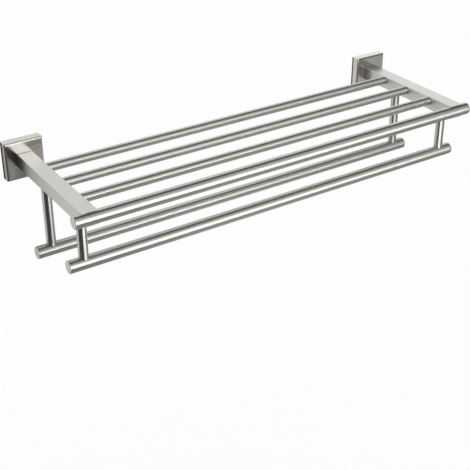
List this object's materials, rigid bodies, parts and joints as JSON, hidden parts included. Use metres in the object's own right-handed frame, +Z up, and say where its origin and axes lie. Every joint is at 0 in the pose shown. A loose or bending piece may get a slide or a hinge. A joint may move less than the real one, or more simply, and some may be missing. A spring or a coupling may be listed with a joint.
{
  "type": "double towel bar",
  "caption": "Wall-mounted towel shelf: round rungs and a front rail between box-section arms on square flanges, with lower towel bars hung on short posts.",
  "frame": {"origin": "on the wall plane, midway between the arms, at the height of the arms' axes", "axes": "+X along the bars to the right as seen from the room, +Y into the wall, +Z up"},
  "size_m": [0.6, 0.2, 0.131],
  "materials": {
    "tube_steel": "satin brushed stainless steel, drawn round the tube",
    "post_steel": "satin brushed stainless steel rod",
    "arm_steel": "fine brushed stainless steel, grain along the arm",
    "cover_steel": "smooth satin stainless steel that mirrors the arm softly",
    "cap_steel": "fine turned stainless steel",
    "plate_zinc": "zinc plated steel, hidden",
    "screw_steel": "plain steel screw, hidden"
  },
  "bodies": {
    "root": {"flange_cover_left": "cover_steel", "flange_cover_right": "cover_steel", "wall_plate_left": "plate_zinc", "wall_plate_right": "plate_zinc", "grub_screw_left": "screw_steel", "grub_screw_right": "screw_steel", "arm_screw_left": "screw_steel", "arm_screw_right": "screw_steel", "arm_plug_left": "plate_zinc", "arm_plug_right": "plate_zinc", "arm_left": "arm_steel", "arm_right": "arm_steel", "rung_back": "tube_steel", "rung_middle": "tube_steel", "rung_front": "tube_steel", "front_rail": "tube_steel", "rail_cap_left": "cap_steel", "rail_cap_right": "cap_steel", "towel_bar_front": "tube_steel", "towel_bar_back": "tube_steel", "bar_front_cap_left": "cap_steel", "bar_front_cap_right": "cap_steel", "bar_back_cap_left": "cap_steel", "bar_back_cap_right": "cap_steel", "front_post_left": "post_steel", "front_post_right": "post_steel", "back_post_left": "post_steel", "back_post_right": "post_steel"}
  },
  "joints": []
}
